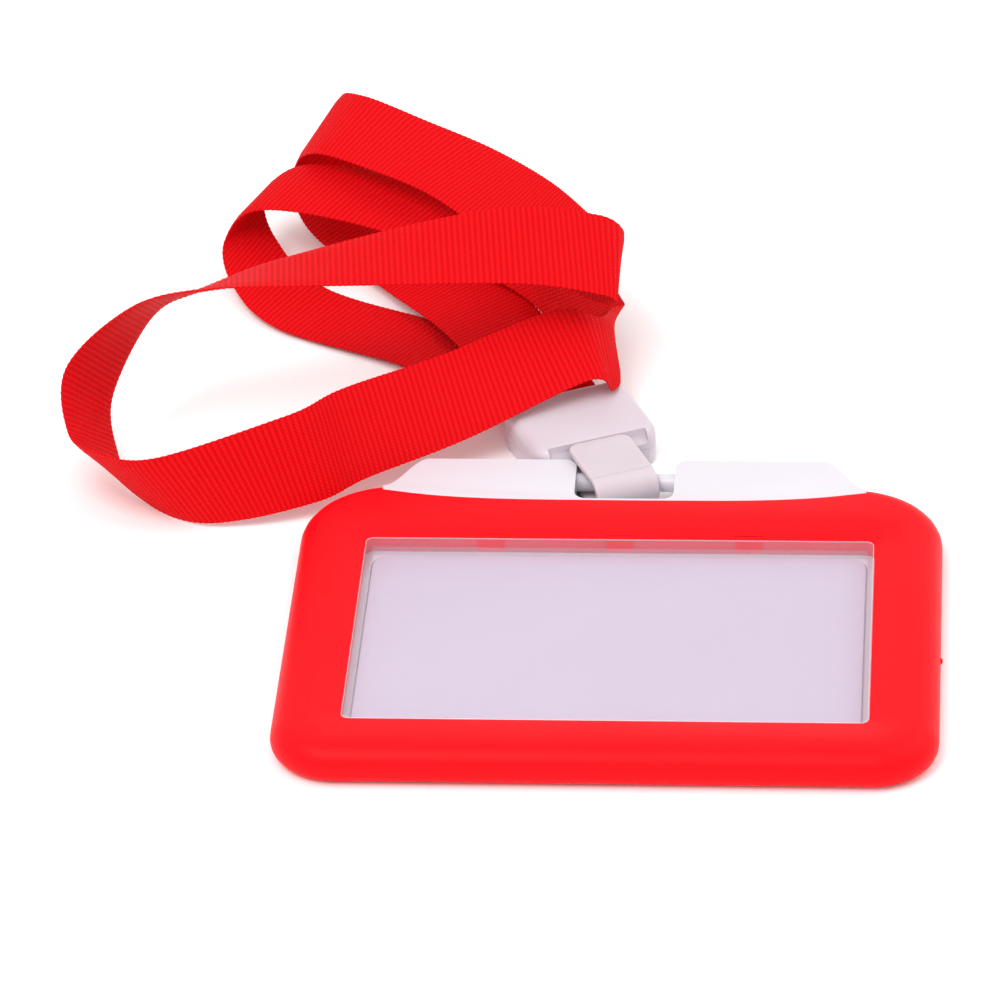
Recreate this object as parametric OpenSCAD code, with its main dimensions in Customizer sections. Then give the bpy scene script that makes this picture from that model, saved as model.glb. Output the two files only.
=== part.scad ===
// Lanyard badge holder: a soft bumper round a rigid card box, hung from a
// ribbon neck loop by a spring-hook clip. Millimetres, front face up, lying on
// its back. +Y points from the card towards the hanging tab.

/* [Card] */
// Width of the card
card_w = 85.6; // [80:0.2:95]
// Height of the card
card_h = 54; // [48:0.2:60]
// Thickness of the card
card_t = 0.76; // [0.4:0.02:1.2]
// Corner radius of the card
card_r = 3.2; // [1:0.1:4]

/* [Bumper frame] */
// Width of the red bar at each side of the window
side_bar = 11.7; // [9:0.1:16]
// Width of the red bar below the window
bottom_bar = 12; // [10:0.1:16]
// Distance from the window to the crown of the frame above it
top_bar = 18; // [16:0.1:22]
// Thickness of the whole frame
frame_t = 7; // [6:0.1:9]
// Outer corner radius at the bottom
bottom_r = 11; // [8:0.5:11.5]
// Outer corner radius at the top
top_r = 16; // [12:0.5:18]
// Width of the rolled outer edge
roll_w = 4.5; // [3:0.1:6]
// Width of the slope that runs down to the window
slope_w = 5.6; // [3:0.1:6.5]

/* [Clear cover] */
// Wall thickness of the clear cover
cover_wall = 1.1; // [0.8:0.1:1.6]
// Thickness of the clear face
cover_face = 1.2; // [0.8:0.1:1.6]
// Depth that the clear face lies below the top of the frame
cover_sink = 1; // [0.5:0.1:1.5]
// Corner radius of the window
window_r = 1.5; // [1.2:0.1:3]
// Width of one snap lug
lug_w = 4.6; // [3:0.1:6]
// Distance between neighbouring snap lugs
lug_pitch = 22.4; // [15:0.1:25]

/* [Rear body and tab] */
// Thickness of the rear panel
panel_t = 3; // [2.5:0.1:3.5]
// Depth of the card pocket in the panel
pocket_d = 0.65; // [0.3:0.05:1]
// Thickness of the hanging tab
tab_t = 6; // [5.5:0.1:6.5]
// How far the tab stands out beyond the crown of the frame
tab_rise = 8; // [7:0.1:12]
// Width of the tab's straight top edge
tab_w = 70; // [50:1:74]
// Width of the slot for the hook
slot_w = 17.5; // [17.5:0.1:24]
// Rounding of the slot's corners
slot_r = 2.2; // [1:0.1:2.5]
// Diameter of the bar that the hook goes round
bar_d = 3.2; // [2.4:0.1:3.4]

/* [Clip] */
// Width of the clip housing
clip_w = 23.6; // [23.2:0.1:26]
// Length of the clip housing
clip_l = 20; // [18:0.5:26]
// Thickness of the clip housing
clip_t = 7.4; // [7.2:0.1:9]
// Angle at which the clip lies across the bar
clip_yaw = 24; // [15:1:26]
// Width of the hook's strap
strap_w = 11.6; // [9:0.1:12]
// Thickness of the hook's strap
strap_t = 1.2; // [0.8:0.1:1.3]

/* [Ribbon] */
// Width of the ribbon
ribbon_w = 16.5; // [14:0.5:18]
// Thickness of the ribbon
ribbon_t = 0.8; // [0.5:0.1:0.9]

/* [Fits] */
// Gap at each side of the card
card_gap = 0.3; // [0.1:0.05:0.5]
// Gap above and below the card
card_gap_y = 0.1; // [0.05:0.05:0.3]
// Gap between the cover and the window
cover_gap = 0.1; // [0.05:0.05:0.3]
// Gap between the bumper and the rear body
seat_gap = 0.05; // [0.02:0.01:0.2]
// Gap round the tongue's tip in the housing
tip_gap = 0.2; // [0.1:0.05:0.4]
// Radial play of the tongue's hinge
hinge_gap = 0.05; // [0.02:0.01:0.1]

/* [Hidden] */
$fn = 64;
eps = 0.01;

// Window and outline of the frame
pocket_w = card_w + 2 * card_gap;
pocket_h = card_h + 2 * card_gap_y;
window_w = card_w + 2 * (card_gap + cover_wall + cover_gap);
window_h = card_h + 2 * (card_gap_y + cover_wall + cover_gap);
body_w = window_w + 2 * side_bar;
body_h = bottom_bar + window_h + top_bar + tab_rise;
window_y = -body_h / 2 + bottom_bar + window_h / 2;
crown_y = body_h / 2 - tab_rise;
cover_top = frame_t - cover_sink;

// Rim between the bumper and the rear panel
rim_w = 5;
rim_groove_d = 1.2;
rim_groove_h = 1;
side_round = 3;
lug_d = 0.6;
lug_play = 0.2;
lug_z = panel_t + 0.5;
lug_h = 2;
cover_inner_r = 0.3;

// Border where the white tab leaves the red frame
border_y = crown_y - 6.9;
border_sag = 3.2;
border_w = 85;
shoulder_y = crown_y - 1.1;
shoulder_steps = 16;

// Bar, slot and the space under the tab that the hook needs
bar_y = body_h / 2 - 3.7;
bar_z = 3.6;
slot_front = bar_y - 9.1;
relief_h = 1.7;
relief_w = 32;
relief_in = 2;
bar_sink = 1;

// Clip, in its own axes: u across, v along, from the bar to the ribbon
clip_x = -1.7;
clip_v = 8;
clip_corner = 5;
clip_edge = 3;
clip_wall = 1.4;
scoop_r = 2.6;
scoop_side = 2.5;
root_gap = 0.05;
clip_split = clip_t / 2;
mouth_v = clip_v + clip_l;
loop_r = 2.4;
loop_v = -2.8;
loop_z = 0.15 + strap_t + loop_r;
tongue_l = 12.1;
tongue_rise = 0;
tip_r = 1.8;
root_l = 6;
root_z = clip_wall + root_gap;
ramp_v = clip_v - 0.8;
root_v = clip_v + clip_wall + 0.8;
tail_z = root_z + strap_t + 5 * root_gap;
tail_v = clip_v + 5;
tail_gap = 0.05;
clamp_l = 9;
clamp_teeth = 4;
clamp_side = 0.5;
tooth_h = 0.5;
edge_round = 0.2;

// Points of a circle's arc
function arc(cx, cy, r, from, to, steps = 8) =
    [for (i = [0 : steps]) let (a = from + (to - from) * i / steps) [cx + r * cos(a), cy + r * sin(a)]];

// Rectangle with its own radius for the lower and the upper corners
function round_rect(left, right, low, high, r_low, r_high) = concat(
    arc(right - r_low, low + r_low, r_low, -90, 0),
    arc(right - r_high, high - r_high, r_high, 0, 90),
    arc(left + r_high, high - r_high, r_high, 90, 180),
    arc(left + r_low, low + r_low, r_low, 180, 270));

module round_plate(w, h, r) {
    translate([0, window_y]) square([w - 2 * r, h], center = true);
    translate([0, window_y]) square([w, h - 2 * r], center = true);
    for (x = [-1, 1], y = [-1, 1])
        translate([x * (w / 2 - r), window_y + y * (h / 2 - r)]) circle(r);
}

// Outer outline of the frame, drawn smaller by inset
module body_outline(inset) {
    half = body_w / 2;
    low = -body_h / 2;
    translate([-half + inset, low + bottom_r]) square([body_w - 2 * inset, crown_y - top_r - low - bottom_r]);
    translate([-half + bottom_r, low + inset]) square([body_w - 2 * bottom_r, bottom_r]);
    translate([-half + top_r, crown_y - top_r]) square([body_w - 2 * top_r, top_r - inset]);
    for (x = [-1, 1]) {
        translate([x * (half - bottom_r), low + bottom_r]) circle(bottom_r - inset);
        translate([x * (half - top_r), crown_y - top_r]) circle(top_r - inset);
    }
}

// The tab: S-shaped shoulders from the frame up to its straight top edge
module tab_outline(grow = 0) {
    foot = border_w / 2 + grow;
    top = tab_w / 2 + grow;
    high = body_h / 2 + grow;
    shoulder = [for (i = [0 : shoulder_steps]) let (s = i / shoulder_steps)
        [foot + (top - foot) * s, shoulder_y + (high - shoulder_y) * (1 - cos(180 * s)) / 2]];
    border = [for (i = [-shoulder_steps : shoulder_steps]) let (s = i / shoulder_steps)
        [foot * s, border_y - grow + border_sag * pow(s, 4)]];
    left = [for (i = [0 : shoulder_steps]) [-shoulder[shoulder_steps - i][0], shoulder[shoulder_steps - i][1]]];
    polygon(concat(border, shoulder, left));
}

// Slot for the hook: rounded at its closed end, and flared where it leaves the tab
module slot_outline() {
    side = slot_w / 2;
    high = body_h / 2;
    right = concat(arc(side - slot_r, slot_front + slot_r, slot_r, -90, 0),
        arc(side + slot_r, high - slot_r, slot_r, 180, 90), [[side + slot_r, high + 1]]);
    polygon(concat(right, [for (i = [len(right) - 1 : -1 : 0]) [-right[i][0], right[i][1]]]));
}

// Rolled edge of the bumper in section, from its inner line outwards
module roll_profile() {
    polygon(concat(
        [[0, 0]],
        arc(roll_w - side_round, side_round, side_round, -90, 0, 6),
        [for (a = [15 : 15 : 90]) [roll_w * cos(a), side_round + (frame_t - side_round) * sin(a)]]));
}

module roll_run(length) rotate([90, 0, 0]) linear_extrude(length, center = true) roll_profile();

module roll_corner(r, from) rotate([0, 0, from])
    rotate_extrude(angle = 90) translate([r - roll_w, 0]) roll_profile();

module bumper_blank() {
    half = body_w / 2;
    low = -body_h / 2;
    side_low = low + bottom_r;
    side_high = crown_y - top_r;
    linear_extrude(frame_t) body_outline(roll_w);
    for (x = [0, 1]) mirror([x, 0, 0]) {
        translate([half - roll_w, (side_low + side_high) / 2, 0]) roll_run(side_high - side_low);
        translate([half - bottom_r, side_low, 0]) roll_corner(bottom_r, -90);
        translate([half - top_r, side_high, 0]) roll_corner(top_r, 0);
    }
    translate([0, low + roll_w, 0]) rotate([0, 0, -90]) roll_run(body_w - 2 * bottom_r);
    translate([0, crown_y - roll_w, 0]) rotate([0, 0, 90]) roll_run(body_w - 2 * top_r);
}

// Slope down to the window: a wedge along each side and a cone at each corner
module slope_profile() polygon([[0, cover_top], [slope_w, frame_t], [slope_w, frame_t + 1], [0, frame_t + 1]]);

module window_slope() {
    straight_x = window_w - 2 * window_r;
    straight_y = window_h - 2 * window_r;
    translate([0, window_y, 0]) for (i = [0, 1]) {
        rotate([0, 0, 180 * i]) {
            translate([window_w / 2, 0, 0]) rotate([90, 0, 0])
                linear_extrude(straight_y, center = true) slope_profile();
            translate([0, window_h / 2, 0]) rotate([90, 0, 90])
                linear_extrude(straight_x, center = true) slope_profile();
            for (side = [0, 1])
                translate([(side ? -1 : 1) * straight_x / 2, straight_y / 2, 0]) rotate([0, 0, 90 * side])
                    rotate_extrude(angle = 90) translate([window_r, 0]) slope_profile();
        }
    }
}

module lug_row(w, d, low, high) {
    for (i = [-1 : 1])
        translate([i * lug_pitch - w / 2, window_y + window_h / 2 - cover_gap - eps, low])
            cube([w, d, high - low]);
}

module panel_layers(gap) {
    low = (panel_t - rim_groove_h) / 2;
    high = (panel_t + rim_groove_h) / 2;
    layers = [[-gap, low + gap, rim_w], [low, high, rim_w + rim_groove_d], [high - gap, panel_t + gap, rim_w]];
    for (layer = layers)
        translate([0, 0, layer[0]]) linear_extrude(layer[1] - layer[0]) body_outline(layer[2] - gap);
}

module rear_body() {
    color("#eee6ea") difference() {
        union() {
            panel_layers(0);
            linear_extrude(tab_t) tab_outline();
        }
        translate([0, 0, panel_t - pocket_d])
            linear_extrude(frame_t) round_plate(pocket_w, pocket_h, card_r + card_gap);
        translate([0, 0, -1]) linear_extrude(tab_t + 2) slot_outline();
        translate([-relief_w / 2, bar_y - relief_in, -1]) cube([relief_w, body_h, relief_h + 1]);
    }
    color("#eee6ea") translate([0, bar_y, bar_z]) rotate([0, 90, 0])
        cylinder(d = bar_d, h = slot_w + 2 * bar_sink, center = true);
}

module bumper_frame() {
    color("#ff3038") difference() {
        bumper_blank();
        panel_layers(seat_gap);
        translate([0, 0, panel_t - eps]) linear_extrude(frame_t) round_plate(window_w, window_h, window_r);
        window_slope();
        translate([0, 0, -1]) linear_extrude(frame_t + 2) tab_outline(seat_gap);
        lug_row(lug_w + 2 * lug_play, lug_d + cover_gap + lug_play, panel_t - eps, frame_t + 1);
    }
}

module clear_cover() {
    color("#dcd2e0", 0.4) union() {
        difference() {
            translate([0, 0, panel_t]) linear_extrude(cover_top - panel_t)
                round_plate(window_w - 2 * cover_gap, window_h - 2 * cover_gap, window_r - cover_gap);
            translate([0, 0, panel_t - 1]) linear_extrude(cover_top - cover_face - panel_t + 1)
                round_plate(pocket_w, pocket_h, cover_inner_r);
        }
        lug_row(lug_w, lug_d, lug_z, lug_z + lug_h);
    }
}

module card_blank() {
    color("#f2eef4") translate([0, 0, panel_t - pocket_d]) linear_extrude(card_t)
        round_plate(card_w, card_h, card_r);
}

// Everything on the clip is drawn along v and moved to the bar by this
module at_clip() translate([clip_x, bar_y, 0]) rotate([0, 0, clip_yaw]) children();

// Extrudes a shape drawn in (v, z) across the clip
module across_clip(w) rotate([90, 0, 90]) linear_extrude(w, center = true) children();

module clip_blank() {
    half = clip_w / 2;
    intersection() {
        linear_extrude(clip_t) polygon(round_rect(-half, half, clip_v, mouth_v, clip_corner, clip_corner - 1));
        translate([0, mouth_v, 0]) rotate([90, 0, 0]) linear_extrude(clip_l)
            polygon(round_rect(-half, half, 0, clip_t, clip_edge, clip_edge));
    }
}

module clip_hollow() {
    inner = clip_w - 2 * clip_wall;
    translate([-inner / 2, clip_v + clip_wall, clip_wall]) cube([inner, clip_l, clip_t - 2 * clip_wall]);
}

// Notch for the tongue's tip, with a scooped lead-in at both sides of it
module tongue_seat() {
    seat_z = loop_z + loop_r + tongue_rise - tip_gap;
    seat_end = loop_v + tongue_l + tip_gap;
    translate([-strap_w / 2 - tip_gap, 0, seat_z]) cube([strap_w + 2 * tip_gap, seat_end, clip_t]);
    translate([0, clip_v - 1, clip_t]) rotate([0, 90, 0])
        cylinder(r = scoop_r, h = clip_w - 2 * scoop_side, center = true);
}

module clip_back_shell() {
    color("#ded2d8") at_clip() difference() {
        intersection() {
            clip_blank();
            translate([-clip_w, 0, 0]) cube([2 * clip_w, mouth_v + 1, clip_split]);
        }
        clip_hollow();
        translate([-strap_w / 2 - tip_gap, 0, -1])
            cube([strap_w + 2 * tip_gap, clip_v + clip_wall + 1, root_z + strap_t + 1 + tip_gap]);
    }
}

module clip_front_shell() {
    color("#ded2d8") at_clip() difference() {
        intersection() {
            clip_blank();
            translate([-clip_w, 0, clip_split + hinge_gap]) cube([2 * clip_w, mouth_v + 1, clip_t]);
        }
        clip_hollow();
        tongue_seat();
    }
}

// Toothed plate that presses the two ribbon tails against the back shell
module ribbon_clamp() {
    tooth = clamp_l / clamp_teeth;
    low = tail_z + 2 * ribbon_t + 2 * tail_gap;
    high = clip_t - clip_wall - tail_gap;
    color("#c8c8cc") at_clip() across_clip(ribbon_w - 2 * clamp_side) translate([tail_v, 0]) polygon(concat(
        [[clamp_l, high], [0, high]],
        [for (i = [0 : clamp_teeth - 1], j = [0, 1]) [tooth * (i + j / 2), low + (j ? 0 : tooth_h)]],
        [[clamp_l, low + tooth_h]]));
}

// Hook: root in the housing, under the bar, round it and back to the hinge
module hook_strap() {
    low = loop_z - loop_r - strap_t;
    ramp = [[ramp_v - eps, low], [root_v, root_z], [root_v + eps, root_z]];
    color("#e2dade") at_clip() across_clip(strap_w) difference() {
        union() {
            intersection() {
                difference() {
                    translate([loop_v, loop_z]) circle(loop_r + strap_t);
                    translate([loop_v, loop_z]) circle(loop_r);
                }
                translate([loop_v - 10, loop_z - 10]) square([10, 20]);
            }
            translate([loop_v - eps, low]) square([ramp_v - loop_v + eps, strap_t]);
            polygon(concat(ramp, [for (i = [2 : -1 : 0]) ramp[i] + [0, strap_t]]));
            translate([root_v, root_z]) square([root_l, strap_t]);
        }
        translate([loop_v, loop_z + loop_r + strap_t / 2]) circle(strap_t / 2 + hinge_gap);
    }
}

module hook_tongue() {
    low = loop_z + loop_r;
    half = strap_w / 2;
    tip = [loop_v + tongue_l, low + tongue_rise];
    color("#e2dade") at_clip() {
        translate([0, loop_v, low + strap_t / 2]) rotate([0, 90, 0])
            cylinder(d = strap_t, h = strap_w, center = true);
        intersection() {
            across_clip(strap_w) polygon([[loop_v, low], tip, tip + [0, strap_t], [loop_v, low + strap_t]]);
            translate([0, 0, loop_z]) linear_extrude(clip_t)
                polygon(round_rect(-half, half, loop_v - 5, loop_v + tongue_l, 1, tip_r));
        }
    }
}

// A tail of the ribbon, in the housing: v along the clip, z, and +1 or -1 for its side
function tail(v, z, side) = [clip_x - v * sin(clip_yaw), v * cos(clip_yaw), z,
    side * cos(clip_yaw), side * sin(clip_yaw), 0];

// Ribbon route: x, distance beyond the bar, z, then the direction of its width
upper_z = tail_z + 1.5 * ribbon_t + tail_gap;
lower_z = tail_z + ribbon_t / 2;
route = [
    tail(tail_v, upper_z, 1), tail(mouth_v, upper_z, 1),
    // along the table to the far left, and back above itself
    [-27.5, 53, 5.6, 0.9, 0.4, 0.25], [-40.5, 71, 5.2, 0.9, 0.5, 0.3], [-53, 89, 3.6, 0.8, 0.6, 0.25],
    [-60, 99, 7, 0.8, 0.4, 0.5], [-63, 105, 15, 0.5, 0.7, 0.5], [-58, 98, 21, 0.5, 0.8, 0.3],
    [-46, 90, 21, 0.6, 0.8, 0.2], [-34, 82, 20, 0.7, 0.7, 0.2], [-22, 68, 20, 0.6, 0.7, 0.3],
    [-9, 49, 21, 0.3, 0.9, 0.3], [-3, 40, 24, 0.1, 0.9, 0.4], [-6, 38, 28, -0.1, 0.8, 0.5],
    // highest run, to the left loop that stands on its edge
    [-24, 34, 32, -0.1, 0.9, 0.4], [-61, 28, 30, -0.1, 1, -0.2], [-76, 25, 28, -0.1, 0.9, -0.5],
    [-87, 22, 25, 0.1, 0.8, -0.6], [-96, 13, 16, 0.4, 0.6, -0.7], [-95, 4, 9, 0.4, 0.6, -0.6],
    [-90, -4, 7, 0.4, 0.4, -0.8], [-78, -11, 8, 0.5, 0.1, -0.9], [-57, -5, 11, 0.3, -0.3, -0.9],
    [-48, 4, 11, 0.3, -0.5, -0.8], [-31, 15, 12, 0.3, -0.7, -0.6], [-11, 28, 15, 0.4, -0.8, -0.4],
    // over the clip's mouth, folded under, and back beneath the rest
    [-5, 30.2, 12, 0.2, -0.9, -0.4], [-4, 39, 9.2, 0.1, -0.9, -0.25], [-8, 49, 8, -0.6, -0.8, 0],
    [-17, 63, 9, -0.8, -0.6, 0], [-42, 80, 12.8, -0.6, -0.8, -0.15], [-67, 86, 14.3, -0.5, -0.9, -0.1],
    [-75, 84, 9, -0.4, -0.9, -0.1], [-73, 76, 4, -0.4, -0.9, -0.1], [-63, 64, 1, -0.5, -0.9, 0],
    [-39, 51, 1, -0.6, -0.8, 0], [-26, 39, 2, -0.7, -0.6, 0],
    tail(mouth_v + 5, lower_z - 0.2, -1), tail(mouth_v, lower_z, -1), tail(tail_v, lower_z, -1)
];
ribbon_steps = 2;

// Smooth curve through the route: s counts route points
function pick(i) = i < 0 ? 2 * route[0] - route[1]
    : i < len(route) ? route[i] : 2 * route[i - 1] - route[i - 2];
function curve(s) = let (i = min(floor(s), len(route) - 2), t = s - i,
    a = pick(i - 1), b = pick(i), c = pick(i + 1), d = pick(i + 2))
    (2 * b + (c - a) * t + (2 * a - 5 * b + 4 * c - d) * t * t + (3 * b - a - 3 * c + d) * t * t * t) / 2;
function place(s) = let (p = curve(s)) [p[0], p[1] + bar_y, p[2]];
function across(s) = let (p = curve(s), w = [p[3], p[4], p[5]]) w / norm(w);

module ribbon() {
    last = len(route) - 1;
    rings = last * ribbon_steps;
    half = ribbon_w / 2;
    side = [[half, ribbon_t / 4], [half - edge_round, ribbon_t / 2]];
    section = concat(side, [for (i = [1, 0]) [-side[i][0], side[i][1]]],
        [for (q = side) -q], [for (i = [1, 0]) [side[i][0], -side[i][1]]]);
    sides = len(section);
    points = [for (i = [0 : rings]) let (s = i / ribbon_steps, w = across(s),
        along = place(min(s + 0.01, last)) - place(max(s - 0.01, 0)),
        n = cross(along, w) / norm(cross(along, w)))
        for (q = section) place(s) + w * q[0] + n * q[1]];
    faces = concat(
        [[for (k = [0 : sides - 1]) k]],
        [for (i = [0 : rings - 1], k = [0 : sides - 1], half_face = [0, 1])
            let (a = i * sides + k, b = i * sides + (k + 1) % sides)
            half_face ? [b, a + sides, b + sides] : [b, a, a + sides]],
        [[for (k = [sides - 1 : -1 : 0]) rings * sides + k]]);
    color("#f01820") polyhedron(points, faces, convexity = 10);
}

rear_body();
bumper_frame();
clear_cover();
card_blank();
clip_back_shell();
clip_front_shell();
ribbon_clamp();
hook_strap();
hook_tongue();
ribbon();
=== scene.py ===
import math

import bmesh
import bpy
import numpy as np
from mathutils import Matrix, Vector


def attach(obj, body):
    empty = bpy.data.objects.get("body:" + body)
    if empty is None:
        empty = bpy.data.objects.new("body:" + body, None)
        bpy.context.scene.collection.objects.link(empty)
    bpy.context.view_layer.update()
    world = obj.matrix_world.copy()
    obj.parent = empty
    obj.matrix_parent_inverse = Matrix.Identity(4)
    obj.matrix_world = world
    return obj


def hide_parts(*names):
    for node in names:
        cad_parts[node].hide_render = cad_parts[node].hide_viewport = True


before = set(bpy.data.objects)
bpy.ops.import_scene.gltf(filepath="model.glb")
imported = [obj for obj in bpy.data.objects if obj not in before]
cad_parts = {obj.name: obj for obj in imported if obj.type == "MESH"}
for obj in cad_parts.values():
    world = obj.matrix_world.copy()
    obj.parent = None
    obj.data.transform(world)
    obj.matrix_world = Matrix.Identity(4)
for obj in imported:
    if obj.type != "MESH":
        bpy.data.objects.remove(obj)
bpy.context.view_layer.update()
mm = 0.001
print("frame loaded:", sorted(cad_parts))


def toLinear(hexColour):  # sRGB hex to linear, with alpha 1
    value = hexColour.lstrip("#")
    srgb = np.array([int(value[i:i + 2], 16) / 255 for i in (0, 2, 4)])
    linear = np.where(srgb <= 0.04045, srgb / 12.92, ((srgb + 0.055) / 1.055) ** 2.4)
    return (*linear, 1.0)


# ---- camera: a long lens from in front and above, turned a little
cameraSet = {
    "position": (0.0621, -1.0046, 0.6589),
    "target": (-0.0224, 0.0432, 0.0),
    "roll": -1.974,
    "lens": 252.2,
    "sensor": 36.0,
    "near": 0.05,
    "far": 20.0,
}


def makeCamera(s):
    data = bpy.data.cameras.new("camera")
    data.lens = s["lens"]
    data.sensor_width = s["sensor"]
    data.clip_start = s["near"]
    data.clip_end = s["far"]
    camera = bpy.data.objects.new("camera", data)
    bpy.context.scene.collection.objects.link(camera)
    back = (Vector(s["position"]) - Vector(s["target"])).normalized()
    roll = Matrix.Rotation(math.radians(s["roll"]), 3, "Z")
    turn = back.to_track_quat("Z", "Y").to_matrix() @ roll
    camera.matrix_world = Matrix.Translation(s["position"]) @ turn.to_4x4()
    bpy.context.scene.camera = camera


makeCamera(cameraSet)
print("camera placed")


# ---- mesh helpers
def faceOutwards(mesh):
    shape = bmesh.new()
    shape.from_mesh(mesh)
    bmesh.ops.recalc_face_normals(shape, faces=shape.faces)
    shape.to_mesh(mesh)
    shape.free()


def meshObject(name, points, faces, smoothAngle=35):
    mesh = bpy.data.meshes.new(name)
    mesh.from_pydata(np.asarray(points).tolist(), [], faces)
    mesh.validate()
    faceOutwards(mesh)
    mesh.shade_smooth()
    mesh.set_sharp_from_angle(angle=math.radians(smoothAngle))
    made = bpy.data.objects.new(name, mesh)
    bpy.context.scene.collection.objects.link(made)
    return made


# faces of a tube of closed rings, with a flat face at each end
def tubeFaces(rings, count):
    i = np.arange(rings - 1)[:, None] * count
    j = np.arange(count)[None, :]
    beside = (j + 1) % count
    quads = np.stack([i + j, i + count + j, i + count + beside, i + beside], -1)
    first = list(range(count))
    last = list(range((rings - 1) * count, rings * count))
    return quads.reshape(-1, 4).tolist() + [first, last[::-1]]


def settle(piece, material, body, slotName, *nodes):
    piece.data.materials.clear()
    piece.data.materials.append(material)
    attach(piece, body)
    if nodes:
        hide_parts(*nodes)


def applyModifiers(piece):  # keeps what the modifiers show as the piece's own mesh
    shown = piece.evaluated_get(bpy.context.evaluated_depsgraph_get())
    mesh = bpy.data.meshes.new_from_object(shown)
    piece.modifiers.clear()
    piece.data = mesh


roundSet = {"join": 0.004 * mm, "flat": math.radians(0.6), "corner": math.radians(30),
            "segments": 3, "sharp": math.radians(40)}


# a CAD node's shape with its loose triangles joined, flats merged and edges rounded
def roundedCopy(node, name, edge, s=roundSet):
    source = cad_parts[node]
    piece = bpy.data.objects.new(name, source.data.copy())
    bpy.context.scene.collection.objects.link(piece)
    weld = piece.modifiers.new("weld", "WELD")
    weld.merge_threshold = s["join"]
    flat = piece.modifiers.new("flat", "DECIMATE")
    flat.decimate_type = "DISSOLVE"
    flat.angle_limit = s["flat"]
    bevel = piece.modifiers.new("edge", "BEVEL")
    bevel.width = edge
    bevel.segments = s["segments"]
    bevel.limit_method = "ANGLE"
    bevel.angle_limit = s["corner"]
    applyModifiers(piece)
    piece.data.shade_smooth()
    piece.data.set_sharp_from_angle(angle=s["sharp"])
    return piece


# ---- material helpers
def addNode(tree, kind, props=None, values=None, links=None):
    node = tree.nodes.new(kind)
    for name, value in (props or {}).items():
        setattr(node, name, value)
    for socket, value in (values or {}).items():
        node.inputs[socket].default_value = value
    for socket, source in (links or {}).items():
        tree.links.new(source, node.inputs[socket])
    return node


def newMaterial(name):
    material = bpy.data.materials.new(name)
    material.use_nodes = True
    tree = material.node_tree
    return material, tree, tree.nodes["Principled BSDF"]


# Signed distance to a rounded rectangle in plan, in metres, negative inside:
# length(max(q, 0)) + min(max(qx, qy), 0) - radius, with q = |p - centre| - (half - radius)
def outlineDistance(tree, place, s):
    inner = (s["halfX"] - s["radius"], s["halfY"] - s["radius"], 1.0)
    kind = "ShaderNodeVectorMath"
    at = addNode(tree, kind, {"operation": "SUBTRACT"}, {1: (0, s["centreY"], 0)}, {0: place})
    size = addNode(tree, kind, {"operation": "ABSOLUTE"}, None, {0: at.outputs[0]})
    q = addNode(tree, kind, {"operation": "SUBTRACT"}, {1: inner}, {0: size.outputs[0]})
    out = addNode(tree, kind, {"operation": "MAXIMUM"}, {1: (0, 0, 0)}, {0: q.outputs[0]})
    far = addNode(tree, kind, {"operation": "LENGTH"}, None, {0: out.outputs[0]})
    part = addNode(tree, "ShaderNodeSeparateXYZ", None, None, {0: q.outputs[0]})
    kind = "ShaderNodeMath"
    near = addNode(tree, kind, {"operation": "MAXIMUM"}, None,
                   {0: part.outputs[0], 1: part.outputs[1]})
    near = addNode(tree, kind, {"operation": "MINIMUM"}, {1: 0.0}, {0: near.outputs[0]})
    both = addNode(tree, kind, {"operation": "ADD"}, None,
                   {0: far.outputs["Value"], 1: near.outputs[0]})
    distance = addNode(tree, kind, {"operation": "SUBTRACT"}, {1: s["radius"]},
                       {0: both.outputs[0]})
    return distance.outputs[0]


# How far a moulded surface's roughness drifts down and up with its tint
glossDrift = (0.05, 0.06)


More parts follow.
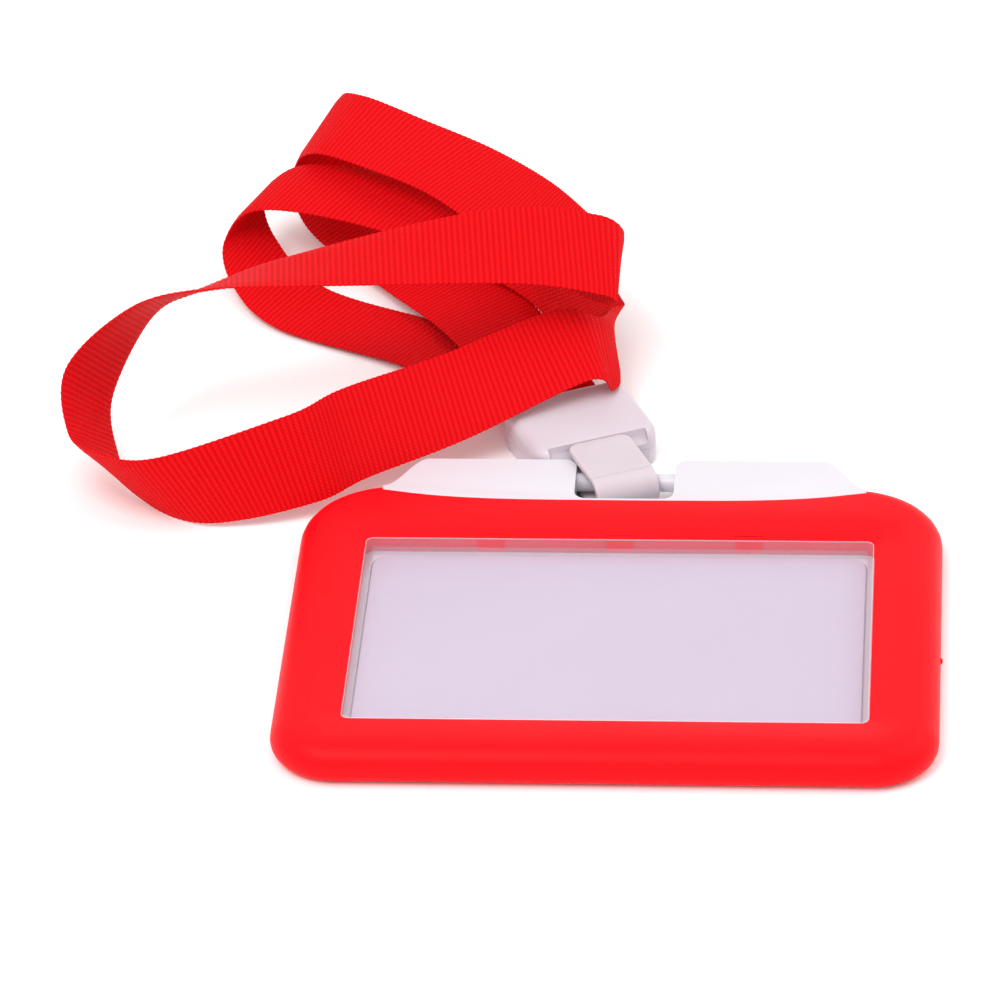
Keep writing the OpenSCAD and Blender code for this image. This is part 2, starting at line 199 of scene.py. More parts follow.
# A moulded plastic: a fine eroded texture, slow tint changes and a few specks of dust
def mouldedMaterial(name, s):
    material, tree, shader = newMaterial(name)
    place = addNode(tree, "ShaderNodeTexCoord").outputs["Object"]
    grain = addNode(tree, "ShaderNodeTexNoise", None,
                    {"Scale": 1 / s["grainSize"], "Detail": 3.0}, {"Vector": place})
    tint = addNode(tree, "ShaderNodeTexNoise", None,
                   {"Scale": 1 / s["tintSize"], "Detail": 2.0}, {"Vector": place})
    spot = addNode(tree, "ShaderNodeTexVoronoi", {"feature": "F1"},
                   {"Scale": 1 / s["speckPitch"], "Randomness": 1.0}, {"Vector": place})
    ramp = addNode(tree, "ShaderNodeMapRange", None,
                   {"From Min": s["speckSize"] / s["speckPitch"], "From Max": 0.0, "To Min": 0.0,
                    "To Max": s["speckMix"]}, {"Value": spot.outputs["Distance"]})
    body = addNode(tree, "ShaderNodeMix", {"data_type": "RGBA"},
                   {6: toLinear(s["colour"]), 7: toLinear(s["shade"])}, {0: tint.outputs["Fac"]})
    dusty = addNode(tree, "ShaderNodeMix", {"data_type": "RGBA"},
                    {7: toLinear(s["speckColour"])},
                    {0: ramp.outputs["Result"], 6: body.outputs[2]})
    colour = dusty.outputs[2]
    if "paintedCreaseShade" in s:  # painted shade: a soft darker line where the slope towards the window begins
        distance = outlineDistance(tree, place, s["paintedCreaseShade"])
        away = addNode(tree, "ShaderNodeMath", {"operation": "ABSOLUTE"}, None, {0: distance})
        line = addNode(tree, "ShaderNodeMapRange", {"interpolation_type": "SMOOTHSTEP"},
                       {"From Min": s["paintedCreaseShade"]["width"], "From Max": 0.0, "To Min": 0.0,
                        "To Max": s["paintedCreaseShade"]["mix"]}, {"Value": away.outputs[0]})
        creaseShadedColour = addNode(tree, "ShaderNodeMix", {"data_type": "RGBA"},
                          {7: toLinear(s["paintedCreaseShade"]["colour"])},
                          {0: line.outputs["Result"], 6: colour})
        colour = creaseShadedColour.outputs[2]
    tree.links.new(colour, shader.inputs["Base Color"])
    gloss = addNode(tree, "ShaderNodeMapRange", None,
                    {"To Min": s["roughness"] - glossDrift[0],
                     "To Max": s["roughness"] + glossDrift[1]},
                    {"Value": tint.outputs["Fac"]})
    tree.links.new(gloss.outputs["Result"], shader.inputs["Roughness"])
    bump = addNode(tree, "ShaderNodeBump", None,
                   {"Strength": s["bump"], "Distance": s["bumpDepth"]},
                   {"Height": grain.outputs["Fac"]})
    tree.links.new(bump.outputs["Normal"], shader.inputs["Normal"])
    shader.inputs["IOR"].default_value = s["ior"]
    shader.inputs["Specular IOR Level"].default_value = s.get("specular", 0.5)
    shader.inputs["Subsurface Weight"].default_value = s.get("glow", 0.0)
    shader.inputs["Subsurface Radius"].default_value = s.get("glowRadius", (1.0, 0.5, 0.4))
    shader.inputs["Subsurface Scale"].default_value = s.get("glowScale", 0.001)
    return material


# TPE overmould, satin from a spark-eroded tool: an even, saturated red with soft highlights and a
# painted shade line where the slope begins
redTpe = mouldedMaterial("tpeRedMoulded", {
    "colour": "#f60a18", "shade": "#f00814", "speckColour": "#ff8088",
    "grainSize": 0.35 * mm, "tintSize": 22 * mm, "speckPitch": 9 * mm, "speckSize": 0.14 * mm,
    "speckMix": 0.5, "roughness": 0.45, "bump": 0.25, "bumpDepth": 0.02 * mm,
    "ior": 1.48, "specular": 0.1,
    # the crease entry paints shade: a darker line around the frame where the slope towards the
    # window begins
    "paintedCreaseShade": {"centreY": -7 * mm, "halfX": 49.9 * mm, "halfY": 33.9 * mm, "radius": 7 * mm,
               "width": 0.9 * mm, "mix": 0.4, "colour": "#b0060e"}})

# ABS box, polished tool: near white with a faint warm tint and a soft gloss
whiteAbs = mouldedMaterial("absWhiteMoulded", {
    "colour": "#dad6dd", "shade": "#d6d1d9", "speckColour": "#a0969c",
    "grainSize": 0.3 * mm, "tintSize": 18 * mm, "speckPitch": 11 * mm, "speckSize": 0.1 * mm,
    "speckMix": 0.5, "roughness": 0.36, "bump": 0.12, "bumpDepth": 0.01 * mm, "ior": 1.54,
    "glow": 0.15, "glowRadius": (1.0, 0.8, 0.85), "glowScale": 1.2 * mm})

# Acetal clip housing: slightly grey, waxy and a little translucent
clipAcetal = mouldedMaterial("acetalHousingMoulded", {
    "colour": "#cfc3cb", "shade": "#c8bbc4", "speckColour": "#968c92",
    "grainSize": 0.25 * mm, "tintSize": 9 * mm, "speckPitch": 7 * mm, "speckSize": 0.08 * mm,
    "speckMix": 0.4, "roughness": 0.33, "bump": 0.15, "bumpDepth": 0.012 * mm, "ior": 1.48,
    "glow": 0.3, "glowRadius": (1.0, 0.75, 0.75), "glowScale": 1.5 * mm})

# Polypropylene hook: milkier and softer than the housing
hookPp = mouldedMaterial("polypropyleneHookMoulded", {
    "colour": "#cdc1c8", "shade": "#c6b9c1", "speckColour": "#9c9396",
    "grainSize": 0.25 * mm, "tintSize": 7 * mm, "speckPitch": 6 * mm, "speckSize": 0.07 * mm,
    "speckMix": 0.4, "roughness": 0.38, "bump": 0.15, "bumpDepth": 0.012 * mm, "ior": 1.49,
    "glow": 0.35, "glowRadius": (1.0, 0.8, 0.78), "glowScale": 1.5 * mm})

# Nylon clamp plate inside the housing: plain and matte
clampNylon = mouldedMaterial("nylonClampMoulded", {
    "colour": "#c9c6c8", "shade": "#bfbcbf", "speckColour": "#8d8a8c",
    "grainSize": 0.3 * mm, "tintSize": 5 * mm, "speckPitch": 5 * mm, "speckSize": 0.06 * mm,
    "speckMix": 0.3, "roughness": 0.55, "bump": 0.3, "bumpDepth": 0.02 * mm, "ior": 1.53})

# PVC card core, laminated: a smooth lilac-white sheet with a soft sheen
cardPvc = mouldedMaterial("pvcCardLaminated", {
    "colour": "#cdc3d4", "shade": "#c9bed0", "speckColour": "#7d7484",
    "grainSize": 0.5 * mm, "tintSize": 30 * mm, "speckPitch": 16 * mm, "speckSize": 0.12 * mm,
    "speckMix": 0.7, "roughness": 0.4, "bump": 0.08, "bumpDepth": 0.01 * mm, "ior": 1.53})


# Polycarbonate cover, polished: clear with a lilac cast, faint haze and dust, and a painted
# highlight along the top of its rim
def clearMaterial(name, s):
    material, tree, shader = newMaterial(name)
    place = addNode(tree, "ShaderNodeTexCoord").outputs["Object"]
    haze = addNode(tree, "ShaderNodeTexNoise", None,
                   {"Scale": 1 / s["hazeSize"], "Detail": 4.0}, {"Vector": place})
    spot = addNode(tree, "ShaderNodeTexVoronoi", {"feature": "F1"},
                   {"Scale": 1 / s["speckPitch"], "Randomness": 1.0}, {"Vector": place})
    dust = addNode(tree, "ShaderNodeMapRange", None,
                   {"From Min": s["speckSize"] / s["speckPitch"], "From Max": 0.0,
                    "To Min": s["alpha"], "To Max": s["dustAlpha"]},
                   {"Value": spot.outputs["Distance"]})
    gloss = addNode(tree, "ShaderNodeMapRange", None,
                    {"To Min": s["roughness"], "To Max": s["roughness"] + s["hazeRoughness"]},
                    {"Value": haze.outputs["Fac"]})
    tone = addNode(tree, "ShaderNodeMix", {"data_type": "RGBA"},
                   {6: toLinear(s["colour"]), 7: toLinear(s["shade"])}, {0: haze.outputs["Fac"]})
    # painted highlight: a pale, more opaque line blended in along the top outer edge of the
    # cover's rim
    edge = addNode(tree, "ShaderNodeMapRange", {"interpolation_type": "SMOOTHSTEP"},
                   {"From Min": -s["paintedRimHighlight"]["width"], "From Max": 0.0, "To Min": 0.0,
                    "To Max": s["paintedRimHighlight"]["alpha"]},
                   {"Value": outlineDistance(tree, place, s["paintedRimHighlight"])})
    top = addNode(tree, "ShaderNodeSeparateXYZ", None, None, {0: place})
    above = addNode(tree, "ShaderNodeMath", {"operation": "GREATER_THAN"},
                    {1: s["paintedRimHighlight"]["fromZ"]}, {0: top.outputs["Z"]})
    paintedRimHighlight = addNode(tree, "ShaderNodeMath", {"operation": "MULTIPLY"}, None,
                  {0: edge.outputs[0], 1: above.outputs[0]})
    rimHighlightColour = addNode(tree, "ShaderNodeMix", {"data_type": "RGBA"},
                     {7: toLinear(s["paintedRimHighlight"]["colour"])}, {0: paintedRimHighlight.outputs[0], 6: tone.outputs[2]})
    cover = addNode(tree, "ShaderNodeMath", {"operation": "MAXIMUM"}, None,
                    {0: paintedRimHighlight.outputs[0], 1: dust.outputs[0]})
    tree.links.new(rimHighlightColour.outputs[2], shader.inputs["Base Color"])
    tree.links.new(gloss.outputs["Result"], shader.inputs["Roughness"])
    tree.links.new(cover.outputs[0], shader.inputs["Alpha"])
    shader.inputs["IOR"].default_value = s["ior"]
    return material


clearPc = clearMaterial("polycarbonateClearPolished", {
    "colour": "#d6c6d6", "shade": "#d0c0d1", "hazeSize": 12 * mm, "speckPitch": 13 * mm,
    "speckSize": 0.1 * mm, "alpha": 0.13, "dustAlpha": 0.9, "roughness": 0.06,
    "hazeRoughness": 0.08, "ior": 1.58,
    # the rim entry paints a highlight line along the top edge of the cover
    "paintedRimHighlight": {"centreY": -7 * mm, "halfX": 44.2 * mm, "halfY": 28.2 * mm, "radius": 1.4 * mm,
            "width": 0.4 * mm, "fromZ": 5.7 * mm, "alpha": 0.55, "colour": "#ffe6ec"}})


# Nylon grosgrain: the cross ribs are in the mesh, and the shader adds the threads between
# them, a painted highlight on the rib crests with painted shade between the ribs, and slow
# wear. Reads the ribbon's own map: u across, v along, metres
def grosgrainMaterial(name, s):
    material, tree, shader = newMaterial(name)
    place = addNode(tree, "ShaderNodeUVMap", {"uv_map": "ribbonMap"}).outputs["UV"]
    split = addNode(tree, "ShaderNodeSeparateXYZ", None, None, {"Vector": place})
    warp = addNode(tree, "ShaderNodeMath", {"operation": "MULTIPLY"},
                   {1: 2 * math.pi / s["threadPitch"]}, {0: split.outputs["X"]})
    warpWave = addNode(tree, "ShaderNodeMath", {"operation": "SINE"}, None, {0: warp.outputs[0]})
    weft = addNode(tree, "ShaderNodeMath", {"operation": "MULTIPLY"},
                   {1: 2 * math.pi / s["ribPitch"]}, {0: split.outputs["Y"]})
    weftWave = addNode(tree, "ShaderNodeMath", {"operation": "COSINE"}, None, {0: weft.outputs[0]})
    weave = addNode(tree, "ShaderNodeMath", {"operation": "MULTIPLY"}, None,
                    {0: warpWave.outputs[0], 1: weftWave.outputs[0]})
    fuzz = addNode(tree, "ShaderNodeTexNoise", None,
                   {"Scale": 1 / s["fuzzSize"], "Detail": 2.0}, {"Vector": place})
    height = addNode(tree, "ShaderNodeMath", {"operation": "ADD"}, None,
                     {0: weave.outputs[0], 1: fuzz.outputs["Fac"]})
    bump = addNode(tree, "ShaderNodeBump", None,
                   {"Strength": s["bump"], "Distance": s["threadDepth"]},
                   {"Height": height.outputs[0]})
    tree.links.new(bump.outputs["Normal"], shader.inputs["Normal"])
    wear = addNode(tree, "ShaderNodeTexNoise", None,
                   {"Scale": 1 / s["wearSize"], "Detail": 2.0}, {"Vector": place})
    # painted highlight and shade: the rib crests are blended towards the light colour, the valleys
    # stay darker
    crestHighlightMask = addNode(tree, "ShaderNodeMapRange", None,
                    {"From Min": -1.0, "From Max": 1.0, "To Min": 0.0, "To Max": s["crestHighlightMix"]},
                    {"Value": weftWave.outputs[0]})
    tone = addNode(tree, "ShaderNodeMix", {"data_type": "RGBA"},
                   {6: toLinear(s["colour"]), 7: toLinear(s["shade"])}, {0: wear.outputs["Fac"]})
    crestLitColour = addNode(tree, "ShaderNodeMix", {"data_type": "RGBA"},
                     {7: toLinear(s["light"])}, {0: crestHighlightMask.outputs["Result"], 6: tone.outputs[2]})
    tree.links.new(crestLitColour.outputs[2], shader.inputs["Base Color"])
    shader.inputs["Roughness"].default_value = s["roughness"]
    shader.inputs["IOR"].default_value = s["ior"]
    shader.inputs["Specular IOR Level"].default_value = s["specular"]
    return material


ribbonNylon = grosgrainMaterial("nylonGrosgrainWoven", {
    # the light colour and the rib tone paint a highlight on the rib crests and leave shade between
    # them
    "colour": "#cc020b", "shade": "#c40109", "light": "#e8121a",
    "ribPitch": 1.05 * mm, "threadPitch": 0.7 * mm, "threadDepth": 0.06 * mm, "bump": 0.7,
    "fuzzSize": 0.3 * mm, "wearSize": 25 * mm, "crestHighlightMix": 0.75, "roughness": 0.65,
    "ior": 1.5, "specular": 0.06})
print("materials made")


# Where the clip hangs: the middle of the bar in plan, and the clip's turn about it
clipPlace = {"x": -1.7 * mm, "y": 43.6 * mm, "yaw": math.radians(24)}

# ---- ribbon: one flat cord from the clip round its loops and back
ribbonSet = {
    "width": 16.5 * mm,
    "thickness": 0.8 * mm,
    "tailV": 13 * mm,
    "mouthV": 28 * mm,
    "upperZ": 4.15 * mm,
    "lowerZ": 3.3 * mm,
    "ribPitch": 1.05 * mm,
    "ribHeight": 0.11 * mm,
    "selvedge": 0.1 * mm,
    "edgeShare": 0.03,
    "edgeThin": 0.35,
    "columns": 9,
    "ringsPerRib": 4,
    "stepsPerSpan": 40,
}


# x, distance beyond the bar, z, then the direction of the ribbon's width
ribbonRoute = [
    (-0.0275, 0.053, 0.0056, 0.9, 0.4, 0.25), (-0.0405, 0.071, 0.0052, 0.9, 0.5, 0.3),
    (-0.053, 0.089, 0.0036, 0.8, 0.6, 0.25), (-0.060, 0.099, 0.007, 0.8, 0.4, 0.5),
    (-0.063, 0.105, 0.015, 0.5, 0.7, 0.5), (-0.058, 0.098, 0.021, 0.5, 0.8, 0.3),
    (-0.046, 0.090, 0.021, 0.6, 0.8, 0.2), (-0.034, 0.082, 0.020, 0.7, 0.7, 0.2),
    (-0.022, 0.068, 0.020, 0.6, 0.7, 0.3), (-0.009, 0.049, 0.021, 0.3, 0.9, 0.3),
    (-0.003, 0.040, 0.024, 0.1, 0.9, 0.4), (-0.006, 0.038, 0.028, -0.1, 0.8, 0.5),
    (-0.024, 0.034, 0.032, -0.1, 0.9, 0.4), (-0.061, 0.028, 0.030, -0.1, 1.0, -0.2),
    (-0.076, 0.025, 0.028, -0.1, 0.9, -0.5), (-0.087, 0.022, 0.025, 0.1, 0.8, -0.6),
    (-0.096, 0.013, 0.016, 0.4, 0.6, -0.7), (-0.095, 0.004, 0.009, 0.4, 0.6, -0.6),
    (-0.090, -0.004, 0.007, 0.4, 0.4, -0.8), (-0.078, -0.011, 0.008, 0.5, 0.1, -0.9),
    (-0.057, -0.005, 0.011, 0.3, -0.3, -0.9), (-0.048, 0.004, 0.011, 0.3, -0.5, -0.8),
    (-0.031, 0.015, 0.012, 0.3, -0.7, -0.6), (-0.011, 0.028, 0.015, 0.4, -0.8, -0.4),
    (-0.005, 0.0302, 0.012, 0.2, -0.9, -0.4), (-0.004, 0.039, 0.0092, 0.1, -0.9, -0.25),
    (-0.008, 0.049, 0.008, -0.6, -0.8, 0.0), (-0.017, 0.063, 0.009, -0.8, -0.6, 0.0),
    (-0.042, 0.080, 0.0128, -0.6, -0.8, -0.15), (-0.067, 0.086, 0.0143, -0.5, -0.9, -0.1),
    (-0.075, 0.084, 0.009, -0.4, -0.9, -0.1), (-0.073, 0.076, 0.004, -0.4, -0.9, -0.1),
    (-0.063, 0.064, 0.001, -0.5, -0.9, 0.0), (-0.039, 0.051, 0.001, -0.6, -0.8, 0.0),
    (-0.026, 0.039, 0.002, -0.7, -0.6, 0.0),
]


def ribbonTail(v, z, side):  # a route point of a tail in the housing, v along the clip
    c, n = math.cos(clipPlace["yaw"]), math.sin(clipPlace["yaw"])
    return (clipPlace["x"] - v * n, v * c, z, side * c, side * n, 0.0)


# Catmull-Rom curve: half of 2b + (c-a)t + (2a-5b+4c-d)t^2 + (3b-a-3c+d)t^3
def smoothRoute(points, perSpan):
    ends = np.vstack([2 * points[0] - points[1], points, 2 * points[-1] - points[-2]])
    t = np.arange(perSpan)[None, :, None] / perSpan
    a, b, c, d = (ends[i:len(ends) - 3 + i, None, :] for i in range(4))
    spans = (2 * b + (c - a) * t + (2 * a - 5 * b + 4 * c - d) * t ** 2
             + (3 * b - a - 3 * c + d) * t ** 3) / 2
    return np.vstack([spans.reshape(-1, points.shape[1]), points[-1:]])


# A flat section carried along the route: place = centre + across * u + up * w, where
# the half thickness swells with each rib and the edges step in and out with it
def makeRibbon(s):
    start = [ribbonTail(s["tailV"], s["upperZ"], 1), ribbonTail(s["mouthV"], s["upperZ"], 1)]
    finish = [ribbonTail(s["mouthV"] + 5 * mm, s["lowerZ"] - 0.2 * mm, -1),
              ribbonTail(s["mouthV"], s["lowerZ"], -1), ribbonTail(s["tailV"], s["lowerZ"], -1)]
    fine = smoothRoute(np.array(start + ribbonRoute + finish), s["stepsPerSpan"])
    fine[:, 1] += clipPlace["y"]
    steps = np.linalg.norm(np.diff(fine[:, :3], axis=0), axis=1)
    run = np.concatenate([[0], np.cumsum(steps)])
    count = int(run[-1] / s["ribPitch"] * s["ringsPerRib"]) + 1
    along = np.linspace(0, run[-1], count)
    line = np.stack([np.interp(along, run, fine[:, k]) for k in range(6)], 1)
    centre = line[:, :3]
    across = line[:, 3:] / np.linalg.norm(line[:, 3:], axis=1, keepdims=True)
    tangent = np.gradient(centre, axis=0)
    up = np.cross(tangent, across)
    up /= np.linalg.norm(up, axis=1, keepdims=True)
    rib = np.cos(2 * np.pi * along / s["ribPitch"])
    half = s["width"] / 2 - s["selvedge"] * (1 - rib) / 2
    side = np.linspace(-1, 1, s["columns"])
    thin = (s["thickness"] / 2 - s["ribHeight"] * (1 - rib) / 2)[:, None]
    lift = thin * np.clip((1 - np.abs(side)) / s["edgeShare"], s["edgeThin"], 1)[None, :]
    u = half[:, None] * side[None, :]
    top = centre[:, None] + across[:, None] * u[..., None] + up[:, None] * lift[..., None]
    low = centre[:, None] + across[:, None] * u[..., None] - up[:, None] * lift[..., None]
    rings = np.concatenate([top, low[:, ::-1]], axis=1)
    mapU = np.concatenate([u, u[:, ::-1]], axis=1)
    sides = rings.shape[1]
    ribbon = meshObject("ribbon_woven", rings.reshape(-1, 3), tubeFaces(count, sides), 60)
    corner = np.zeros(len(ribbon.data.loops), np.int32)
    ribbon.data.loops.foreach_get("vertex_index", corner)
    uv = np.stack([mapU.reshape(-1)[corner], np.repeat(along, sides)[corner]], 1)
    layer = ribbon.data.uv_layers.new(name="ribbonMap")
    layer.data.foreach_set("uv", uv.astype(np.float32).reshape(-1))
    path = centre[::s["ringsPerRib"]].tolist() + [centre[-1].tolist()]
    return ribbon, path, float(run[-1])


ribbon, ribbonPath, ribbonLength = makeRibbon(ribbonSet)
settle(ribbon, ribbonNylon, "clip", "ribbon_nylon", "ribbon")
print("ribbon woven, length", round(ribbonLength, 4))


# ---- carried-over pieces: materials, and rounded edges where the real ones have them
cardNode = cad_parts["card_blank"]
cardNode.data.materials.clear()
cardNode.data.materials.append(cardPvc)
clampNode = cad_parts["ribbon_clamp"]
clampNode.data.materials.clear()
clampNode.data.materials.append(clampNylon)

settle(roundedCopy("rear_body", "rear_body_moulded", 0.45 * mm),
       whiteAbs, "holder", "white_abs", "rear_body")
settle(roundedCopy("clear_cover", "clear_cover_polished", 0.2 * mm),
       clearPc, "cover", "clear_pc", "clear_cover")
settle(roundedCopy("bumper_frame", "bumper_moulded", 0.15 * mm),
       redTpe, "holder", "red_tpe", "bumper_frame")

# The bumper closes over each lug: a block that follows the slope z = 6 + (y - edge) / 5.6
lipSet = {"pitch": 22.4 * mm, "half": 2.55 * mm, "y": 21.3 * mm, "depth": 1.0 * mm,
          "low": 3.05 * mm, "high": 6 * mm, "slope": 1 / 5.6}


def makeLips(s):
    corner = np.array([(x, y, z) for x in (-1, 1) for y in (0, 1) for z in (0, 1)], float)
    top = s["high"] + corner[:, 1] * s["depth"] * s["slope"]
    block = np.stack([corner[:, 0] * s["half"], s["y"] + corner[:, 1] * s["depth"],
                      np.where(corner[:, 2] > 0, top, s["low"])], 1)
    points = np.concatenate([block + (i * s["pitch"], 0, 0) for i in (-1, 0, 1)])
    box = np.array([(0, 1, 3, 2), (4, 6, 7, 5), (0, 4, 5, 1),
                    (2, 3, 7, 6), (0, 2, 6, 4), (1, 5, 7, 3)])
    faces = np.concatenate([box + len(corner) * i for i in range(3)])
    return meshObject("bumper_lips", points, faces.tolist())


settle(makeLips(lipSet), redTpe, "holder", "red_tpe")

# Mark of the injection gate on the bumper's right edge: a small flattened dome
nibSet = {"at": (55.9 * mm, -11.9 * mm, 3.1 * mm), "radii": (0.45 * mm, 0.6 * mm, 0.6 * mm),
          "rings": 10, "count": 20, "poleGap": 0.15}


def makeNib(s):
    a = np.linspace(s["poleGap"], np.pi - s["poleGap"], s["rings"])[:, None]
    t = np.linspace(0, 2 * np.pi, s["count"], endpoint=False)[None, :]
    ball = np.stack([np.sin(a) * np.cos(t), np.sin(a) * np.sin(t), np.cos(a) + 0 * t], -1)
    points = ball.reshape(-1, 3) * s["radii"] + s["at"]
    return meshObject("bumper_gate_mark", points, tubeFaces(s["rings"], s["count"]), 80)


settle(makeNib(nibSet), redTpe, "holder", "red_tpe")
print("moulded pieces finished")


# ---- clip: u across, v along from the bar, turned with the ribbon's tails
clipSet = {
    "halfU": 11.8 * mm, "lowV": 8 * mm, "highV": 28 * mm, "height": 7.4 * mm,
    "split": 3.7 * mm, "gap": 0.025 * mm, "wall": 1.4 * mm,
    "corner": 3.6 * mm, "topRound": 1.9 * mm, "lowRound": 1.0 * mm,
    "seatU": 6.0 * mm, "seatV": 9.5 * mm, "seatZ": 5.95 * mm, "seatRound": 2.0 * mm,
    "scoopV": 7 * mm, "scoopRadius": 2.6 * mm, "scoopU": 9.3 * mm, "scoopStep": 7.5,
    "rootU": 6.0 * mm, "rootV": 10.4 * mm, "rootZ": 3.6 * mm,
    "beyond": (20 * mm, 40 * mm, 20 * mm), "before": -10 * mm,
}


def toClip(points):  # from (u, v, z) to the shared frame
    c, n = math.cos(clipPlace["yaw"]), math.sin(clipPlace["yaw"])
    u, v, z = np.moveaxis(np.asarray(points, float), -1, 0)
    return np.stack([clipPlace["x"] + u * c - v * n, clipPlace["y"] + u * n + v * c, z], -1)


# the outline of a rounded rectangle and its outward normals
def cornerArcs(low, high, radius, steps=8):
    a = np.radians(np.linspace(0, 90, steps))
    quarter = np.concatenate([a - np.pi / 2, a, a + np.pi / 2, a + np.pi])
    normal = np.stack([np.cos(quarter), np.sin(quarter)], 1)
    at = np.repeat(np.array([(high[0], low[1]), high, (low[0], high[1]), low])
                   + radius * np.array([(-1, 1), (-1, -1), (1, -1), (1, 1)]), steps, axis=0)
    return at + radius * normal, normal


# A prism of rounded outline whose upper and lower edges are rounded as well:
# ring = outline - inset * normal, with inset = r (1 - cos a), z = end - r (1 - sin a)
def roundedPrism(name, low, high, radius, lowRound, topRound, steps=6):
    outline, normal = cornerArcs(low[:2], high[:2], radius)
    a = np.radians(np.linspace(0, 90, steps))
    inset = np.concatenate([lowRound * (1 - np.sin(a)), topRound * (1 - np.cos(a))])
    z = np.concatenate([low[2] + lowRound * (1 - np.cos(a)), high[2] - topRound * (1 - np.sin(a))])
    flat = outline[None] - inset[:, None, None] * normal[None]
    rings = np.concatenate([flat, np.broadcast_to(z[:, None, None], flat.shape[:2] + (1,))], -1)
    faces = tubeFaces(len(rings), rings.shape[1])
    return meshObject(name, toClip(rings.reshape(-1, 3)), [f[::-1] for f in faces], 40)


def carve(piece, cutters):
    for cutter in cutters:
        cut = piece.modifiers.new("cut", "BOOLEAN")
        cut.object = cutter
        cut.operation = "DIFFERENCE"
        cut.solver = "EXACT"
    applyModifiers(piece)
    for cutter in cutters:
        bpy.data.objects.remove(cutter)
    piece.data.shade_smooth()
    piece.data.set_sharp_from_angle(angle=math.radians(40))
    return piece


def clipBox(low, high, radius=0.02 * mm):  # a cutter with nearly sharp upper and lower edges
    return roundedPrism("cutter", low, high, radius, 0.01 * mm, 0.01 * mm, 3)


def scoopCutter(s):  # a cylinder across the clip, to either side of the tongue
    turn = np.radians(np.arange(0, 360, s["scoopStep"]))
    ends = np.array([-s["scoopU"], s["scoopU"]])
    v = s["scoopV"] + s["scoopRadius"] * np.cos(turn)
    z = s["height"] + s["scoopRadius"] * np.sin(turn)
    rings = np.stack([np.repeat(ends, len(turn)), np.tile(v, 2), np.tile(z, 2)], 1)
    return meshObject("cutter", toClip(rings), tubeFaces(2, len(turn)))


# One half of the housing: the whole outer shape, less its hollow and all past the split
def makeShell(name, front, s):
    shell = roundedPrism(name, (-s["halfU"], s["lowV"], 0), (s["halfU"], s["highV"], s["height"]),
                         s["corner"], s["lowRound"], s["topRound"])
    inner = s["halfU"] - s["wall"]
    cutters = [clipBox((-inner, s["lowV"] + s["wall"], s["wall"]),
                       (inner, s["highV"] + 1 * mm, s["height"] - s["wall"]))]
    (farU, farV, farZ), before = s["beyond"], s["before"]
    if front:
        cutters += [
            clipBox((-farU, before, before), (farU, farV, s["split"] + s["gap"])),
            clipBox((-s["seatU"], before, s["seatZ"]), (s["seatU"], s["seatV"], farZ),
                    s["seatRound"]),
            scoopCutter(s),
        ]
    else:
        cutters += [
            clipBox((-farU, before, s["split"] - s["gap"]), (farU, farV, farZ)),
            clipBox((-s["rootU"], before, before), (s["rootU"], s["rootV"], s["rootZ"])),
        ]
    return carve(shell, cutters)


hookSet = {
    "halfU": 5.8 * mm, "half": 0.6 * mm, "edge": 0.3 * mm,
    "loopV": -2.8 * mm, "loopZ": 3.75 * mm, "loopRadius": 3.0 * mm,
    "rampV": 7.2 * mm, "rootV": 10.2 * mm, "rootZ": 2.05 * mm, "endV": 16.2 * mm,
    "tipV": 9.3 * mm, "tipRound": 1.8 * mm, "pitch": 0.35 * mm,
    "loopSteps": 28, "tipSteps": 12, "tipTurn": 88,
}


# A band swept along a path in (v, z): its section is a rounded rectangle, and
# place = path + normal * height, with the half width given at every point
def sweepBand(name, path, halfWidth, s):
    along = np.gradient(path, axis=0)
    along /= np.linalg.norm(along, axis=1, keepdims=True)
    normal = np.stack([-along[:, 1], along[:, 0]], 1)
    section, _ = cornerArcs((-s["halfU"], -s["half"]), (s["halfU"], s["half"]), s["edge"], 4)
    u = np.sign(section[:, 0]) * (np.abs(section[:, 0]) - s["halfU"])
    acrossU = np.sign(section[:, 0])[None] * halfWidth[:, None] + u[None]
    place = path[:, None] + normal[:, None] * section[None, :, 1:2]
    rings = np.concatenate([acrossU[..., None], place], -1)
    faces = tubeFaces(len(path), len(section))
    return meshObject(name, toClip(rings.reshape(-1, 3)), faces, 50)


def makeStrap(s):  # from the housing under the bar, then half round it
    low = s["loopZ"] - s["loopRadius"]
    root = np.array([(s["endV"], s["rootZ"]), (s["rootV"], s["rootZ"]),
                     (s["rampV"], low), (s["loopV"], low)])
    reach = np.concatenate([[0], np.cumsum(np.linalg.norm(np.diff(root, axis=0), axis=1))])
    steps = np.arange(0, reach[-1], s["pitch"])
    line = np.stack([np.interp(steps, reach, root[:, k]) for k in (0, 1)], 1)
    a = np.radians(np.linspace(-90, -270, s["loopSteps"]))
    bend = np.stack([s["loopV"] + s["loopRadius"] * np.cos(a),
                     s["loopZ"] + s["loopRadius"] * np.sin(a)], 1)
    path = np.vstack([line, bend])
    return sweepBand("hook_strap_moulded", path, np.full(len(path), s["halfU"]), s)


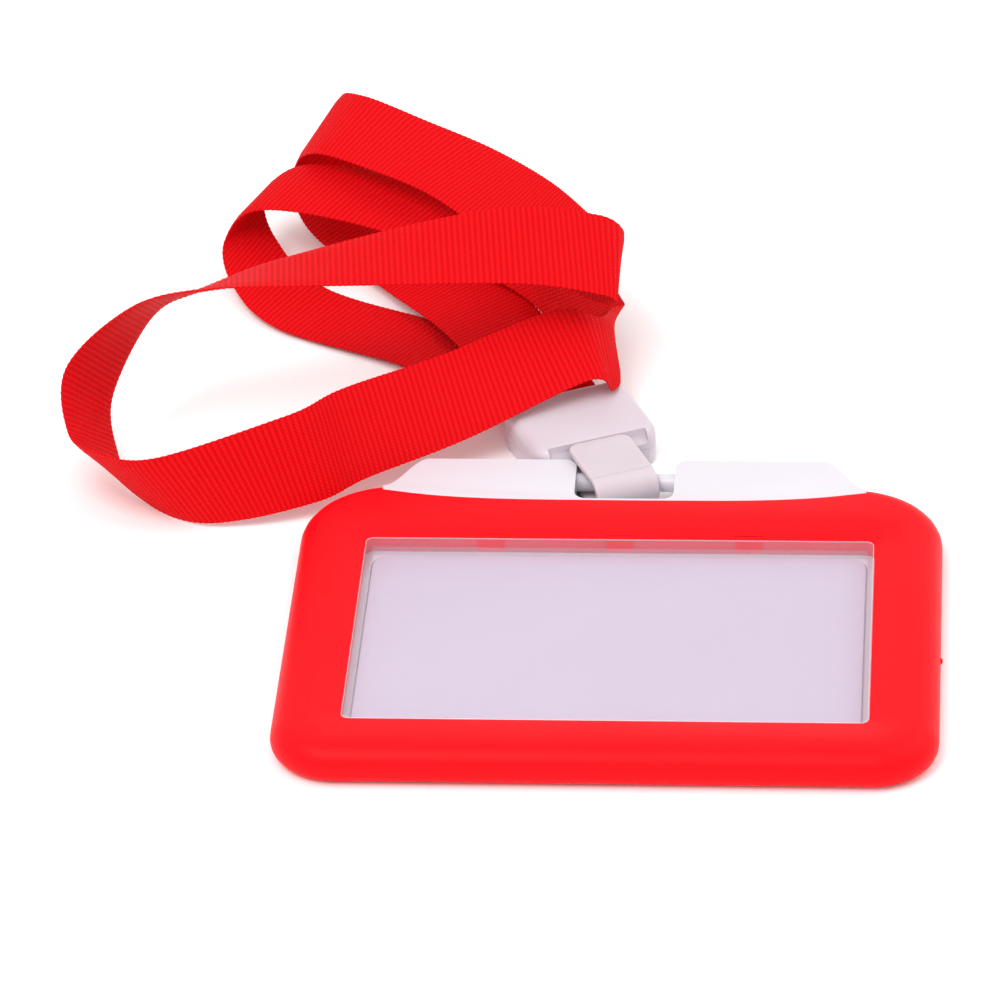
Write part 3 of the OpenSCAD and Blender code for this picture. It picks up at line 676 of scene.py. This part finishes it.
def makeTongue(s):  # straight over the bar to a rounded tip
    a = np.radians(np.linspace(0, s["tipTurn"], s["tipSteps"]))
    v = np.concatenate([np.arange(s["loopV"], s["tipV"] - s["tipRound"], 2 * s["pitch"]),
                        s["tipV"] - s["tipRound"] * (1 - np.sin(a))])
    path = np.stack([v, np.full(len(v), s["loopZ"] + s["loopRadius"])], 1)
    rest = np.clip(v - (s["tipV"] - s["tipRound"]), 0, None)
    width = s["halfU"] - s["tipRound"] + np.sqrt(s["tipRound"] ** 2 - rest ** 2)
    return sweepBand("hook_tongue_moulded", path, width, s)


clipPieces = [
    makeShell("clip_back_moulded", False, clipSet),
    makeShell("clip_front_moulded", True, clipSet),
    makeStrap(hookSet),
    makeTongue(hookSet),
]
settle(clipPieces[0], clipAcetal, "clip", "clip_plastic", "clip_back_shell")
settle(clipPieces[1], clipAcetal, "clip", "clip_plastic", "clip_front_shell")
settle(clipPieces[2], hookPp, "clip", "hook_plastic", "hook_strap")
settle(clipPieces[3], hookPp, "tongue", "hook_plastic", "hook_tongue")
print("clip finished")


# ---- floor and light
stageSet = {"half": 3, "drop": 0.05 * mm, "colour": "#ffffff", "roughness": 0.9, "light": 0.88}


def makeStage(s):
    corners = [(x * s["half"], y * s["half"], 0) for x, y in ((-1, -1), (1, -1), (1, 1), (-1, 1))]
    floor = meshObject("floor", corners, [(0, 1, 2, 3)])
    material, tree, shader = newMaterial("paperSweepMatte")
    shader.inputs["Base Color"].default_value = toLinear(s["colour"])
    shader.inputs["Roughness"].default_value = s["roughness"]
    floor.data.materials.append(material)
    floor.location.z = -s["drop"]
    world = bpy.data.worlds.new("studio")
    bpy.context.scene.world = world
    world.use_nodes = True
    sky = world.node_tree.nodes["Background"]
    sky.inputs["Color"].default_value = toLinear(s["colour"])
    sky.inputs["Strength"].default_value = s["light"]


lightSet = [
    {"name": "key", "at": (-0.35, -0.55, 1.1), "size": 0.7, "power": 8.5},
    {"name": "fill", "at": (0.8, 0.3, 0.9), "size": 1.0, "power": 4.0},
]
lightTarget = (0, 0.03, 0)


def makeLights(lights):
    for s in lights:
        data = bpy.data.lights.new(s["name"], "AREA")
        data.size = s["size"]
        data.energy = s["power"]
        lamp = bpy.data.objects.new(s["name"], data)
        bpy.context.scene.collection.objects.link(lamp)
        lamp.location = s["at"]
        aim = Vector(lightTarget) - Vector(s["at"])
        lamp.rotation_euler = aim.to_track_quat("-Z", "Y").to_euler()


makeStage(stageSet)
makeLights(lightSet)
bpy.context.scene.view_settings.view_transform = "Standard"
print("stage lit")
